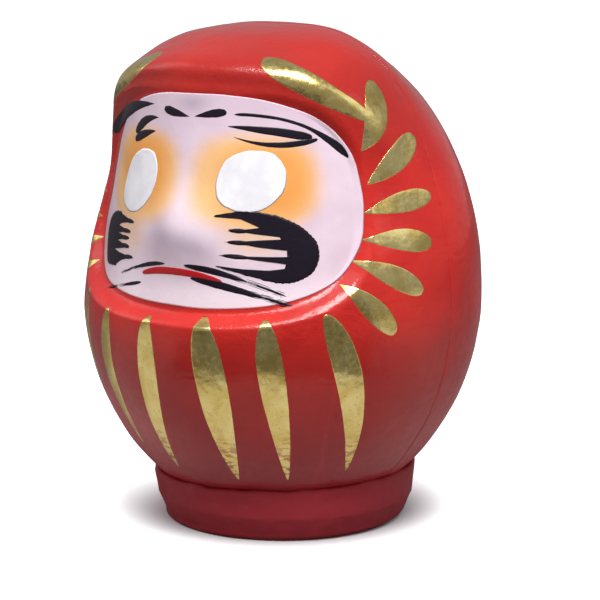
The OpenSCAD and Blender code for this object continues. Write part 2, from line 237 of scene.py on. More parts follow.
def split(tree, vector):
    made = tree.nodes.new("ShaderNodeSeparateXYZ")
    join(tree, vector, made.inputs[0])
    return [Sum(tree, out) for out in made.outputs]


def finish_tree(tree, geometry, given, out):
    """Every tree ends the same way: merged, smooth, realized, with its material."""
    merged = node(tree, "GeometryNodeMergeByDistance", Geometry=geometry, Distance=2e-6)
    shaded = node(tree, "GeometryNodeSetShadeSmooth", Geometry=merged.outputs[0])
    real = node(tree, "GeometryNodeRealizeInstances", Geometry=shaded.outputs[0])
    done = node(tree, "GeometryNodeSetMaterial", Geometry=real.outputs[0],
                Material=given.outputs["Material"])
    tree.links.new(done.outputs[0], out.inputs[0])


# Hand-made unevenness of the pasted paper: size and depth of each wave in millimetres
HAND_WAVES = ((32.0, 0.65), (13.0, 0.2))


def bend_round(tree, a, z, lift):
    """Where a flat place lands once it is bent round the doll, with the hand-made waviness."""
    ring = lowest(z, SKIN_TOP)
    stretch = (lift + (DOLL_H - BELLY_Z)) / (DOLL_H - BELLY_Z)
    height = highest(ring - BELLY_Z, 0.0) * stretch + lowest(ring, BELLY_Z)
    pole = highest(z - SKIN_TOP, 0.0) / (DOLL_H - SKIN_TOP)
    r = skin_radius(a, height, lift) * (1.0 - pole)
    height = height + highest(z - SKIN_TOP, 0.0)
    spot = combine(tree, r * sin_deg(a), r * cos_deg(a) * -1.0, height - BELLY_Z)
    swell = 1.0
    for size, depth in HAND_WAVES:
        noise = node(tree, "ShaderNodeTexNoise", Vector=spot, Scale=1 / size, Detail=1.0)
        swell = swell + (Sum(tree, noise.outputs[0]) - 0.5) * (2 * depth / BELLY_R)
    x, y, up = split(tree, spot)
    return combine(tree, x * swell * MM, y * swell * MM, (up * swell + BELLY_Z) * MM)


def wrap_tree():
    """Bends a flat pattern, drawn as angle, height and lift, round the doll."""
    tree, given, out = new_tree("wrap_round_doll", [("Material", "Material", None)])
    a, z, lift = split(tree, tree.nodes.new("GeometryNodeInputPosition").outputs[0])
    moved = node(tree, "GeometryNodeSetPosition", Geometry=given.outputs["Geometry"],
                 Position=bend_round(tree, a, z, lift))
    finish_tree(tree, moved.outputs[0], given, out)
    return tree


STROKE_INPUTS = [
    ("Start Angle", "Float", 0.0), ("Start Height", "Float", 60.0),
    ("Bend Angle", "Float", 0.0), ("Bend Height", "Float", 40.0),
    ("End Angle", "Float", 0.0), ("End Height", "Float", 20.0),
    ("Half Width", "Float", 3.0), ("Start Taper", "Float", 0.6), ("End Taper", "Float", 1.0),
    ("Pressed Late", "Float", 0.0),
    ("Millimetres A Degree", "Float", 1.0), ("Base", "Float", 0.0), ("Thickness", "Float", 0.2),
    ("Wobble", "Float", 0.05), ("Seed", "Float", 0.0),
    ("Steps", "Int", 61), ("Loop", "Int", 25), ("Material", "Material", None),
]


def stroke_tree():
    """One brush or foil stroke: a flat lens along a bent line, tapered to its ends, on the skin."""
    tree, given, out = new_tree("brush_stroke", STROKE_INPUTS)
    value = {label: Sum(tree, given.outputs[label]) for label, kind, _ in STROKE_INPUTS
             if kind in ("Float", "Int")}
    grid = node(tree, "GeometryNodeMeshGrid", Size_X=1.0, Size_Y=1.0,
                Vertices_X=given.outputs["Steps"], Vertices_Y=given.outputs["Loop"])
    x, y, _ = split(tree, tree.nodes.new("GeometryNodeInputPosition").outputs[0])
    t = x + 0.5
    turn = (y + 0.5) * 360.0
    back = 1.0 - t

    def along(part, at):
        rest = 1.0 - at
        return (rest * rest * value["Start " + part] + at * rest * 2.0 * value["Bend " + part]
                + at * at * value["End " + part])

    step = 0.01
    degree = value["Millimetres A Degree"]
    run = (along("Angle", t + step) - along("Angle", t - step)) * degree
    rise = along("Height", t + step) - along("Height", t - step)
    length = power(run * run + rise * rise, 0.5)
    p, q = value["Start Taper"], value["End Taper"]
    peak = power(p + q, p + q) / (power(p, p) * power(q, q))
    noise = node(tree, "ShaderNodeTexNoise", Scale=1.0, Detail=2.0,
                 Vector=combine(tree, t * 9.0, cos_deg(turn) * 0.6, value["Seed"] * 7.3))
    wobble = (Sum(tree, noise.outputs[0]) - 0.5) * value["Wobble"] * 2.0 + 1.0
    even = power(t, p) * power(back, q) * peak
    late = (smooth(0.55, 0.9, t) * 0.64 + 0.36) * power(highest(1.0 - power(t, 16.0), 0.0), 0.5)
    late = late * power(smooth(-0.01, 0.05, t), 0.5)
    width = (even + (late - even) * value["Pressed Late"]) * value["Half Width"] * wobble
    side = cos_deg(turn) * width
    rim = sin_deg(turn)
    ends = smooth(0.0, 0.03, t) * smooth(0.0, 0.03, back)
    dome = power(highest(rim, 0.0), 0.6) * value["Thickness"] * ends
    sole = lowest(rim, 0.0) * 0.04 * ends
    a = along("Angle", t) - rise / length * side / degree
    z = along("Height", t) + run / length * side
    lift = dome + sole + value["Base"] * smooth(1.04, 1.0, face_size(a, z))
    moved = node(tree, "GeometryNodeSetPosition", Geometry=grid.outputs[0],
                 Position=bend_round(tree, a, z, lift))
    mapped = node(tree, "GeometryNodeStoreNamedAttribute", data_type="FLOAT2", domain="CORNER",
                  Geometry=moved.outputs[0], Name="stroke_map",
                  Value=combine(tree, t, side * 0.1, 0.0))
    finish_tree(tree, mapped.outputs[0], given, out)
    return tree


# Where the rays that lay the strip on the shells start, from the middle, in millimetres; their reach
RAY_START, RAY_REACH = 95.0, 0.1
STRAP_INPUTS = [
    ("Front Skin", "Object", None), ("Back Skin", "Object", None),
    ("Width", "Float", 9.0), ("Thickness", "Float", 0.3), ("Sweep", "Float", 154.0),
    ("Steps", "Int", 361), ("Loop", "Int", 33), ("Material", "Material", None),
]


def strap_tree():
    """The paper strip that follows the joint of the two halves, from foot over the crown to foot."""
    tree, given, out = new_tree("strip_over_joint", STRAP_INPUTS)
    value = {label: Sum(tree, given.outputs[label]) for label, kind, _ in STRAP_INPUTS
             if kind == "Float"}
    grid = node(tree, "GeometryNodeMeshGrid", Size_X=1.0, Size_Y=1.0,
                Vertices_X=given.outputs["Steps"], Vertices_Y=given.outputs["Loop"])
    x, y, _ = split(tree, tree.nodes.new("GeometryNodeInputPosition").outputs[0])
    swing = x * 2.0 * value["Sweep"]
    turn = (y + 0.5) * 360.0
    noise = node(tree, "ShaderNodeTexNoise", Scale=1.0, Detail=3.0,
                 Vector=combine(tree, swing * 0.12, cos_deg(turn), 3.0))
    ragged = (Sum(tree, noise.outputs[0]) - 0.5) * 0.35 + 1.0
    off = cos_deg(turn) * value["Width"] * 0.5 * ragged
    lift = power(highest(sin_deg(turn), 0.0), 0.8) * value["Thickness"]
    lift = lift + lowest(sin_deg(turn), 0.0) * 0.06
    away = RAY_START * MM
    start = combine(tree, sin_deg(swing) * away, off * MM, cos_deg(swing) * away + BELLY_Z * MM)
    aim = combine(tree, sin_deg(swing) * -1.0, 0.0, cos_deg(swing) * -1.0)
    skins = tree.nodes.new("GeometryNodeJoinGeometry")
    for label in ("Back Skin", "Front Skin"):
        info = node(tree, "GeometryNodeObjectInfo", Object=given.outputs[label])
        tree.links.new(info.outputs["Geometry"], skins.inputs[0])
    ray = node(tree, "GeometryNodeRaycast", Target_Geometry=skins.outputs[0],
               Source_Position=start, Ray_Direction=aim, Ray_Length=RAY_REACH)
    hit = split(tree, ray.outputs["Hit Position"])
    out_of = split(tree, aim)
    spot = [h - n * lift * MM for h, n in zip(hit, out_of)]
    moved = node(tree, "GeometryNodeSetPosition", Geometry=grid.outputs[0],
                 Position=combine(tree, *spot))
    finish_tree(tree, moved.outputs[0], given, out)
    return tree


def link_new(name, mesh):
    piece = bpy.data.objects.new(name, mesh)
    bpy.context.scene.collection.objects.link(piece)
    return piece


def grow(piece, tree, **values):
    """Runs a tree on a piece with its inputs set by identifier, and keeps the result as plain mesh."""
    modifier = piece.modifiers.new("grow", "NODES")
    modifier.node_group = tree
    for item in tree.interface.items_tree:
        key = item.name.replace(" ", "_")
        if item.in_out == "INPUT" and key in values:
            modifier[item.identifier] = values[key]
    bpy.context.view_layer.update()
    deps = bpy.context.evaluated_depsgraph_get()
    mesh = bpy.data.meshes.new_from_object(piece.evaluated_get(deps))
    piece.modifiers.clear()
    flat = piece.data
    piece.data = mesh
    mesh.materials.clear()
    mesh.materials.append(values["Material"])
    mesh.polygons.foreach_set("material_index", [0] * len(mesh.polygons))
    mesh.name = piece.name
    bpy.data.meshes.remove(flat)
    return piece


def settle(piece, slot, *nodes):
    """Says what a finished piece rides on and stands for; the slot it is given is not used."""
    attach(piece, "root")
    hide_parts(*nodes)


# ---------------------------------------------------------------- flat patterns


def grid_mesh(name, points, faces):
    mesh = bpy.data.meshes.new(name)
    mesh.from_pydata(points, [], faces)
    mesh.update()
    return mesh


def spread(start, end, coarse, fine, zones):
    """Values from start to end, at a fine spacing inside the zones and a coarse one elsewhere."""
    values = [start]
    while values[-1] < end:
        here = values[-1]
        near = any(low <= here < high for low, high in zones)
        values.append(here + (fine if near else coarse))
    stretch = (end - start) / (values[-1] - start)
    return [start + (v - start) * stretch for v in values]


def every(values, n):
    """Each n-th value, with the last one kept."""
    return values[:-1:n] + [values[-1]]


def sheet_faces(rows, cols, start, flip):
    faces = []
    for i in range(rows - 1):
        for j in range(cols - 1):
            a = start + i * cols + j
            quad = (a, a + 1, a + cols + 1, a + cols)
            faces.append(quad[::-1] if flip else quad)
    return faces


def shell_pattern(name, angles, heights, thin):
    """A half shell drawn flat: a fine outer sheet, a coarser inner one, and the walls between."""
    inner_angles, inner_heights = every(angles, thin), every(heights, thin)
    cols, rows = len(angles), len(heights)
    in_cols, in_rows = len(inner_angles), len(inner_heights)
    points = [(a, z, 0.0) for z in heights for a in angles]
    start = len(points)
    points += [(a, z, -SHELL_T) for z in inner_heights for a in inner_angles]
    faces = sheet_faces(rows, cols, 0, False) + sheet_faces(in_rows, in_cols, start, True)

    def wall(outer, inner):
        """Triangles between a fine edge and a coarse one that share their corners."""
        fine, k = len(outer) - 1, 0
        for i in range(fine):
            if k < len(inner) - 1 and i >= (k + 0.5) * fine / (len(inner) - 1):
                faces.append((outer[i], inner[k], inner[k + 1]))
                k += 1
            faces.append((outer[i], inner[k], outer[i + 1]))
        while k < len(inner) - 1:
            faces.append((outer[-1], inner[k], inner[k + 1]))
            k += 1

    low = [j for j in range(cols)]
    in_low = [start + j for j in range(in_cols)]
    wall(low, in_low)
    right = [i * cols + cols - 1 for i in range(rows)]
    in_right = [start + i * in_cols + in_cols - 1 for i in range(in_rows)]
    wall(right, in_right)
    left = [i * cols for i in range(rows)][::-1]
    in_left = [start + i * in_cols for i in range(in_rows)][::-1]
    wall(left, in_left)
    return grid_mesh(name, points, faces)


def outline_pattern(name, outline, rings, low, high):
    """A closed flat outline, filled with rings towards its middle, as a thin pad from low to high."""
    outline = np.array(outline)
    mid = outline.mean(0)
    n = len(outline)
    points, faces = [], []
    for level, rising in ((high, True), (low, False)):
        first = len(points)
        points.append((*mid, level))
        for k in range(1, rings + 1):
            share = k / rings
            edge = level if k < rings else (low + high) / 2
            points += [(*(mid + (p - mid) * share), edge) for p in outline]
        for j in range(n):
            j2 = (j + 1) % n
            tri = (first, first + 1 + j, first + 1 + j2)
            faces.append(tri if rising else tri[::-1])
            for k in range(rings - 1):
                a, b = first + 1 + k * n + j, first + 1 + k * n + j2
                quad = (a, a + n, b + n, b)
                faces.append(quad if rising else quad[::-1])
    return grid_mesh(name, points, faces)


def round_outline(mid, half, corner, lean, count, wobble=0.0, seed=0):
    """A rounded outline round a middle place; lean tips it over, wobble roughens it."""
    places = []
    for k in range(count):
        t = 2 * math.pi * k / count
        c, s = math.cos(t), math.sin(t)
        reach = (abs(c) ** corner + abs(s) ** corner) ** (-1 / corner)
        rough = 1 + wobble * (math.sin(5 * t + seed) + 0.6 * math.sin(9 * t + 2.1 * seed)
                              + 0.4 * math.sin(17 * t + seed))
        v = half[1] * s * reach * rough
        places.append((mid[0] + half[0] * c * reach * rough + lean * v, mid[1] + v))
    return places


# ---------------------------------------------------------------- looks


def srgb(r, g, b):
    """A colour as it appears, 0 to 255, as the linear one a shader wants."""
    parts = [c / 255 for c in (r, g, b)]
    return tuple(c / 12.92 if c <= 0.04045 else ((c + 0.055) / 1.055) ** 2.4 for c in parts) + (1.0,)


class Look:
    """A node material on the Principled shader, with places in millimetres of object space."""

    def __init__(self, name):
        self.material = bpy.data.materials.new(name)
        self.material.use_nodes = True
        self.tree = self.material.node_tree
        self.shader = next(n for n in self.tree.nodes if n.type == "BSDF_PRINCIPLED")
        spot = self.tree.nodes.new("ShaderNodeTexCoord").outputs["Object"]
        scaled = node(self.tree, "ShaderNodeVectorMath", operation="SCALE", Vector=spot, Scale=1 / MM)
        self.spot = scaled.outputs[0]
        self.x, self.y, self.z = split(self.tree, self.spot)
        self.a = self.x.op("ARCTAN2", self.y * -1.0) * (180 / math.pi)
        self.normal = None

    def set(self, **values):
        for key, value in values.items():
            join(self.tree, value, self.shader.inputs[key.replace("_", " ")])

    def noise(self, size, detail=2.0, at=None, seed=0.0, rough=0.5, twist=0.0):
        made = node(self.tree, "ShaderNodeTexNoise", noise_dimensions="4D", W=seed, Scale=1 / size,
                    Detail=detail, Roughness=rough, Distortion=twist, Vector=at or self.spot)
        return Sum(self.tree, made.outputs[0])

    def cells(self, size, feature="DISTANCE_TO_EDGE", at=None, seed=0.0):
        made = node(self.tree, "ShaderNodeTexVoronoi", voronoi_dimensions="4D", feature=feature,
                    W=seed, Scale=1 / size, Vector=at or self.spot)
        return Sum(self.tree, made.outputs["Distance"])

    def warped(self, size, depth):
        """The place, pushed about by noise so that cells and streaks aren't regular."""
        noise = node(self.tree, "ShaderNodeTexNoise", Scale=1 / size, Detail=2.0, Vector=self.spot)
        push = node(self.tree, "ShaderNodeVectorMath", operation="SCALE", Vector=noise.outputs[1],
                    Scale=depth)
        added = node(self.tree, "ShaderNodeVectorMath", operation="ADD")
        join(self.tree, self.spot, added.inputs[0])
        join(self.tree, push.outputs[0], added.inputs[1])
        return added.outputs[0]

    def mix(self, first, second, share):
        made = self.tree.nodes.new("ShaderNodeMix")
        made.data_type = "RGBA"
        join(self.tree, share, made.inputs[0])
        join(self.tree, first, made.inputs[6])
        join(self.tree, second, made.inputs[7])
        return made.outputs[2]

    def bump(self, height):
        """Raises the surface by a height in millimetres, on top of earlier bumps."""
        made = node(self.tree, "ShaderNodeBump", Height=height, Distance=MM, Strength=1.0)
        if self.normal:
            self.tree.links.new(self.normal, made.inputs["Normal"])
        self.normal = made.outputs[0]
        for layer in ("Normal", "Coat Normal"):
            self.tree.links.new(self.normal, self.shader.inputs[layer])


def red_look(name, gloss, coat):
    """Red poster paint on pasted paper, under a thick brushed varnish, with painted shade and a painted
    floor reflection worked into its colour.
    """
    look = Look(name)
    broad = look.noise(22.0, 3.0, seed=1.0)
    fine = look.noise(2.2, 4.0, seed=2.0)
    ring = combine(look.tree, sin_deg(look.a) * 6.9, cos_deg(look.a) * 6.9, look.z * 0.9)
    streaks = look.noise(1.0, 3.0, at=ring, seed=3.0)
    red = look.mix(srgb(190, 28, 24), srgb(212, 44, 32), smooth(0.3, 0.72, broad))
    red = look.mix(red, srgb(170, 22, 22), smooth(0.5, 0.8, streaks) * 0.4)
    red = look.mix(red, srgb(150, 20, 22), smooth(0.58, 0.78, fine) * 0.25)
    # Painted shade and a painted reflection of the pale floor: the red turns darker and pinker towards the
    # bottom, and pinker again near the foot.
    red = look.mix(red, srgb(168, 44, 54), smooth(50.0, 12.0, look.z) * 0.8)
    red = look.mix(red, srgb(184, 58, 68), smooth(20.0, 11.0, look.z) * 0.6)
    # Painted shade: a darker band just under the belly's widest part.
    red = look.mix(red, srgb(150, 26, 24), smooth(66.0, 52.0, look.z) * smooth(26.0, 44.0, look.z) * 0.45)
    # Painted shade: the red darkens upwards over the hood and crown, taking back the strong light from
    # above.
    red = look.mix(red, srgb(150, 29, 20), smooth(98.0, 124.0, look.z) * 0.62)
    scrap = look.cells(24.0, at=look.warped(14.0, 14.0), seed=4.0)
    lap = smooth(0.0, 0.05, scrap)
    look.set(Base_Color=red, Roughness=smooth(0.35, 0.75, fine) * 0.14 + gloss, IOR=1.5,
             Coat_Weight=coat, Coat_Roughness=0.1, Coat_IOR=1.5, Specular_IOR_Level=0.2)
    look.bump(lap * 0.03)
    look.bump(look.noise(6.5, 2.0, seed=5.0) * 0.2)
    look.bump(look.noise(1.5, 3.0, seed=6.0, rough=0.6) * 0.055)
    look.bump(look.noise(0.55, 2.0, seed=7.0, rough=0.6) * 0.022)
    lip = smooth(57.0, 61.0, look.z) * smooth(74.0, 67.0, look.z) * smooth(85.0, 60.0, abs(look.a))
    hood = smooth(126.0, 129.0, look.z) * smooth(135.0, 132.0, look.z) * smooth(60.0, 35.0, abs(look.a))
    look.bump(look.noise(0.9, 3.0, seed=8.0, rough=0.7) * (lip * 0.13 + hood * 0.12))
    return look.material


def halo_mask(look, mid, half, corner, soft):
    size = power(power(abs(look.a - mid[0]) / half[0], corner)
                 + power(abs(look.z - mid[1]) / half[1], corner), 1 / corner)
    speck = look.noise(0.35, 1.0, seed=9.0)
    return smooth(soft[1], soft[0], size + (speck - 0.5) * 0.12)


def face_look():
    """Pinkish white chalk coat, airbrushed orange round the eyes, with grey over the nose's underside that
    is partly airbrush and partly painted shade; painted light towards the chin and painted shade under the
    hood.
    """
    look = Look("face_white")
    drift = look.noise(14.0, 3.0, seed=11.0)
    grain = look.noise(0.9, 3.0, seed=12.0)
    white = look.mix(srgb(228, 204, 218), srgb(239, 219, 229), smooth(0.3, 0.7, drift))
    # Painted light: the coat turns nearly white towards the chin, where light from above falls on it.
    white = look.mix(white, srgb(254, 238, 246), smooth(79.0, 70.0, look.z) * 0.9)
    # Painted shade: the coat darkens towards its top, under the hood.
    white = look.mix(white, srgb(214, 190, 206), smooth(106.0, 122.0, look.z) * 0.6)
    white = look.mix(white, srgb(222, 198, 214), smooth(0.55, 0.8, grain) * 0.3)
    peach, orange = srgb(249, 192, 112), srgb(240, 150, 50)
    for mid, half, core in (((22.6, 101.2), (21.6, 12.4), (26.5, 101.2)),
                            ((-22.0, 101.0), (19.0, 12.6), (-21.0, 102.5))):
        white = look.mix(white, peach, halo_mask(look, mid, half, 2.8, (0.74, 1.2)) * 0.88)
        reach = (half[0] - 3.5, half[1] - 0.8)
        white = look.mix(white, orange, halo_mask(look, core, reach, 2.6, (0.5, 1.1)) * 0.72)
    for mid in ((24.0, 88.0), (-26.0, 86.0)):
        white = look.mix(white, peach, halo_mask(look, mid, (13.0, 8.0), 2.2, (0.1, 1.2)) * 0.55)
    # Grey on the nose's underside: partly the doll's airbrushed grey, partly painted shade under the
    # nose's bulge.
    arc = look.z - (look.a * -0.17 - look.a * look.a * 0.008 + 84.9)
    reach = smooth(18.0, 5.0, abs(look.a))
    shade = exp(power(abs(arc) / 3.8, 2.0) * -1.0) * reach
    white = look.mix(white, srgb(150, 130, 155), shade * 0.45)
    # Painted shade: a grey patch at the top middle of the face, where it curves up to the hood.
    hood_edge_shade = exp(power(abs(look.a) / 6.0, 2.0) * -1.0 - power(abs(look.z - 121.0) / 2.2, 2.0))
    white = look.mix(white, srgb(150, 138, 160), hood_edge_shade * 0.5)
    look.set(Base_Color=white, Roughness=smooth(0.3, 0.7, grain) * 0.12 + 0.36, IOR=1.45,
             Coat_Weight=0.25, Coat_Roughness=0.25, Specular_IOR_Level=0.4)
    look.bump(look.noise(4.5, 2.0, seed=13.0) * 0.10)
    look.bump(grain * 0.025)
    return look.material


def chalk_look():
    """The opaque white of the eyes, brushed on a little thicker."""
    look = Look("eye_white")
    grain = look.noise(0.7, 3.0, seed=21.0)
    drift = look.noise(5.0, 2.0, seed=22.0)
    white = look.mix(srgb(236, 233, 238), srgb(247, 246, 248), smooth(0.35, 0.65, drift))
    white = look.mix(white, srgb(222, 216, 226), smooth(0.6, 0.8, grain) * 0.4)
    look.set(Base_Color=white, Roughness=grain * 0.2 + 0.42, IOR=1.45, Specular_IOR_Level=0.35)
    look.bump(grain * 0.03)
    return look.material


def ink_look(name, dark, worn):
    """Brushed ink: nearly black, thinner and streaky where the brush ran dry."""
    look = Look(name)
    grain = look.noise(0.6, 3.0, seed=31.0)
    bristle = look.noise(0.5, 2.0, at=combine(look.tree, look.a * 0.12, look.z * 1.6, 0.0), seed=32.0)
    ink = look.mix(dark, worn, smooth(0.55, 0.85, bristle) * 0.5)
    ink = look.mix(ink, worn, smooth(0.62, 0.85, grain) * 0.35)
    look.set(Base_Color=ink, Roughness=grain * 0.22 + 0.24, IOR=1.5, Coat_Weight=0.15,
             Coat_Roughness=0.2, Specular_IOR_Level=0.3)
    look.bump(bristle * 0.03)
    look.bump(grain * 0.015)
    return look.material


def foil_look():
    """Stamped gold foil: a bright crinkled metal, dulled to olive in patches, red showing through."""
    look = Look("gold_foil")
    patch = look.noise(7.0, 3.0, seed=41.0, twist=0.6)
    fine = look.noise(1.4, 3.0, seed=42.0)
    speck = look.noise(0.45, 2.0, seed=43.0)
    gold = look.mix(srgb(232, 206, 122), srgb(252, 234, 158), smooth(0.35, 0.65, patch))
    gold = look.mix(gold, srgb(150, 132, 60), smooth(0.55, 0.75, fine) * 0.35)
    rubbed = look.noise(0.9, 3.0, at=combine(look.tree, look.a * 0.25, look.z * 0.9, 0.0), seed=46.0)
    bare = smooth(0.70, 0.76, speck) * smooth(0.5, 0.65, patch)
    bare = lowest(bare + smooth(0.47, 0.58, rubbed) * smooth(38.0, 22.0, look.z) * 0.9, 1.0)
    gold = look.mix(gold, srgb(170, 40, 26), bare * 0.7)
    look.set(Base_Color=gold, Metallic=1.0 - bare * 0.8, Roughness=smooth(0.3, 0.8, fine) * 0.16 + 0.17)
    look.bump(look.noise(9.0, 1.0, seed=45.0) * 0.55)
    look.bump(look.noise(4.2, 2.0, seed=44.0) * 0.16)
    look.bump(fine * 0.03)
    return look.material


def card_look():
    """Grey board with flecks of fibre."""
    look = Look("card")
    flock = look.noise(0.8, 4.0, seed=51.0)
    fibre = look.noise(0.5, 2.0, at=look.warped(3.0, 4.0), seed=52.0)
    board = look.mix(srgb(168, 158, 142), srgb(194, 184, 168), smooth(0.3, 0.7, flock))
    board = look.mix(board, srgb(120, 110, 98), smooth(0.66, 0.74, fibre) * 0.6)
    look.set(Base_Color=board, Roughness=0.85, Specular_IOR_Level=0.25)
    look.bump(flock * 0.06)
    return look.material


def clay_look():
    """Fired clay weight, sandy and dull."""
    look = Look("clay")
    sand = look.noise(0.7, 4.0, seed=61.0, rough=0.65)
    tone = look.noise(9.0, 3.0, seed=62.0)
    earth = look.mix(srgb(146, 98, 70), srgb(176, 124, 90), smooth(0.3, 0.7, tone))
    earth = look.mix(earth, srgb(110, 72, 52), smooth(0.58, 0.75, sand) * 0.6)
    look.set(Base_Color=earth, Roughness=0.9, Specular_IOR_Level=0.2)
    look.bump(sand * 0.12)
    return look.material


# The patch of floor that shows dark only in reflections, a painted reflection: which way it lies, and the
# distances where it starts, in millimetres
FLAG_AZIMUTH = 28.0
FLAG_NEAR = (120.0, 127.0)


def floor_look():
    """Pale paper sheet that glows towards white away from the doll, washing out its shadow; bounced light
    sees it dark, and a darker patch of it lies before the doll in reflections.
    """
    look = Look("pale_floor")
    mottle = look.noise(60.0, 2.0, seed=71.0)
    path = look.tree.nodes.new("ShaderNodeLightPath")
    diffuse, glossy = (Sum(look.tree, path.outputs[n]) for n in ("Is Diffuse Ray", "Is Glossy Ray"))
    away = power(look.x * look.x + look.y * look.y, 0.5)
    ahead = smooth(60.0, 45.0, abs(look.a - FLAG_AZIMUTH)) * smooth(*FLAG_NEAR, away)
    seen = look.mix(srgb(226, 226, 228), srgb(230, 230, 231), mottle)
    bounced = look.mix((0.40, 0.38, 0.36, 1), (0.07, 0.065, 0.06, 1), ahead)
    behind = smooth(80.0, 125.0, abs(look.a - FLAG_AZIMUTH))
    bounced = look.mix(bounced, (0.17, 0.16, 0.16, 1), behind)
    pale = look.mix(seen, bounced, glossy)
    pale = look.mix(pale, (0.16, 0.15, 0.16, 1), diffuse)
    # Painted light: the floor glows more the further from the doll it lies, which washes out the doll's
    # shadow; only camera rays see the glow.
    shadow_wash_glow = smooth(29.0, 60.0, away) * (1.0 - glossy) * (1.0 - diffuse)
    look.set(Base_Color=pale, Roughness=0.8, Specular_IOR_Level=0.1, Emission_Strength=shadow_wash_glow,
             Emission_Color=(1, 1, 1, 1))
    return look.material


RED = red_look("red_lacquer_paper", 0.38, 0.7)
FOOT_RED = red_look("red_lacquer_foot", 0.55, 0.1)
FACE = face_look()
CHALK = chalk_look()
INK = ink_look("black_ink", srgb(18, 10, 24), srgb(56, 42, 60))
MOUTH = ink_look("mouth_red", srgb(186, 24, 28), srgb(214, 84, 84))
FOIL = foil_look()

# ---------------------------------------------------------------- the two halves and their strip

WRAP = wrap_tree()
ANGLE_STEP, ANGLE_FINE = 1.1, 0.32
EDGE_ANGLES = ((-61.5, -53.0), (53.0, 61.5))
HEIGHT_STEP, HEIGHT_FINE = 1.0, 0.36
EDGE_HEIGHTS = ((61.0, 68.0), (121.5, 132.0))
TOP_Z = 132.0
TOP_K = (DOLL_H - SKIN_TOP) ** 0.5


def shell_heights(fine):
    """Rows up a shell: even to the crown, then by the square root of what is left, to the pole."""
    rows = spread(SHELL_FOOT, TOP_Z, HEIGHT_STEP, fine, EDGE_HEIGHTS)
    last = (DOLL_H - TOP_Z) ** 0.5
    count = 20
    rows += [DOLL_H - (last + (TOP_K - last) * k / count) ** 2 for k in range(1, count + 1)]
    return rows + [SKIN_TOP + (DOLL_H - SKIN_TOP) * k / 4 for k in range(1, 5)]


front_angles = spread(-90.0, 90.0, ANGLE_STEP, ANGLE_FINE, EDGE_ANGLES)
back_angles = spread(89.9, 270.1, 1.5, 1.5, ())
shells = {}
for name, angles, fine in (("shell_front", front_angles, HEIGHT_FINE),
                           ("shell_back", back_angles, HEIGHT_STEP)):
    pattern = shell_pattern(name, angles, shell_heights(fine), 4)
    piece = grow(link_new("paper_" + name, pattern), WRAP, Material=RED)
    settle(piece, "red_lacquer_paper", name)
    shells[name] = piece

strap = grow(link_new("paper_seam_strip", grid_mesh("seam_strip", [(0, 0, 0)], [])), strap_tree(),
             Front_Skin=shells["shell_front"], Back_Skin=shells["shell_back"],
             Width=9.0, Thickness=0.24, Sweep=144.0, Steps=381, Loop=33, Material=RED)
settle(strap, "red_lacquer_paper", "seam_strip")

# ---------------------------------------------------------------- the foot

# The collar gapes towards one side: which way, how far out and how far up
LEAN_AZIMUTH, LEAN_OUT, LEAN_UP = 112.0, 0.7, 1.1


def collar_tree():
    """Turns a flat collar pattern (angle, height, radius) round the foot, lumpy and torn at its top."""
    tree, given, out = new_tree("foot_collar", [
        ("Lump", "Float", 0.5), ("Torn Edge", "Float", 0.8), ("Material", "Material", None)])
    lump, torn = (Sum(tree, given.outputs[label]) for label in ("Lump", "Torn Edge"))
    a, z, r = split(tree, tree.nodes.new("GeometryNodeInputPosition").outputs[0])
    round_spot = combine(tree, sin_deg(a) * r, cos_deg(a) * r * -1.0, z)
    outside = smooth(33.6, 34.6, r)
    broad = node(tree, "ShaderNodeTexNoise", Vector=round_spot, Scale=1 / 16.0, Detail=2.0)
    close = node(tree, "ShaderNodeTexNoise", Vector=round_spot, Scale=1 / 4.0, Detail=2.0)
    edge_spot = combine(tree, sin_deg(a) * 38.0, cos_deg(a) * -38.0, 7.0)
    edge = node(tree, "ShaderNodeTexNoise", Vector=edge_spot, Scale=1 / 9.0, Detail=3.0)
    push = ((Sum(tree, broad.outputs[0]) - 0.5) * 2.0 + (Sum(tree, close.outputs[0]) - 0.5) * 0.6)
    lean = cos_deg(a - LEAN_AZIMUTH)
    radius = r + (push * lump + lean * LEAN_OUT) * outside
    high = smooth(9.0, FOOT_TOP, z) * outside
    height = z + ((Sum(tree, edge.outputs[0]) - 0.5) * 2.0 * torn + lean * LEAN_UP) * high
    moved = node(tree, "GeometryNodeSetPosition", Geometry=given.outputs["Geometry"],
                 Position=combine(tree, sin_deg(a) * radius * MM, cos_deg(a) * radius * -MM, height * MM))
    finish_tree(tree, moved.outputs[0], given, out)
    return tree


def along_path(points, step):
    """Points at even steps along a path of straight pieces."""
    points = [np.array(p, float) for p in points]
    path = [points[0]]
    for start, end in zip(points, points[1:]):
        count = max(1, round(float(np.linalg.norm(end - start)) / step))
        path += [start + (end - start) * k / count for k in range(1, count + 1)]
    return path


def arc_points(mid, r, start, end, count):
    turns = [math.radians(start + (end - start) * k / count) for k in range(count + 1)]
    return [(mid[0] + r * math.cos(t), mid[1] + r * math.sin(t)) for t in turns]


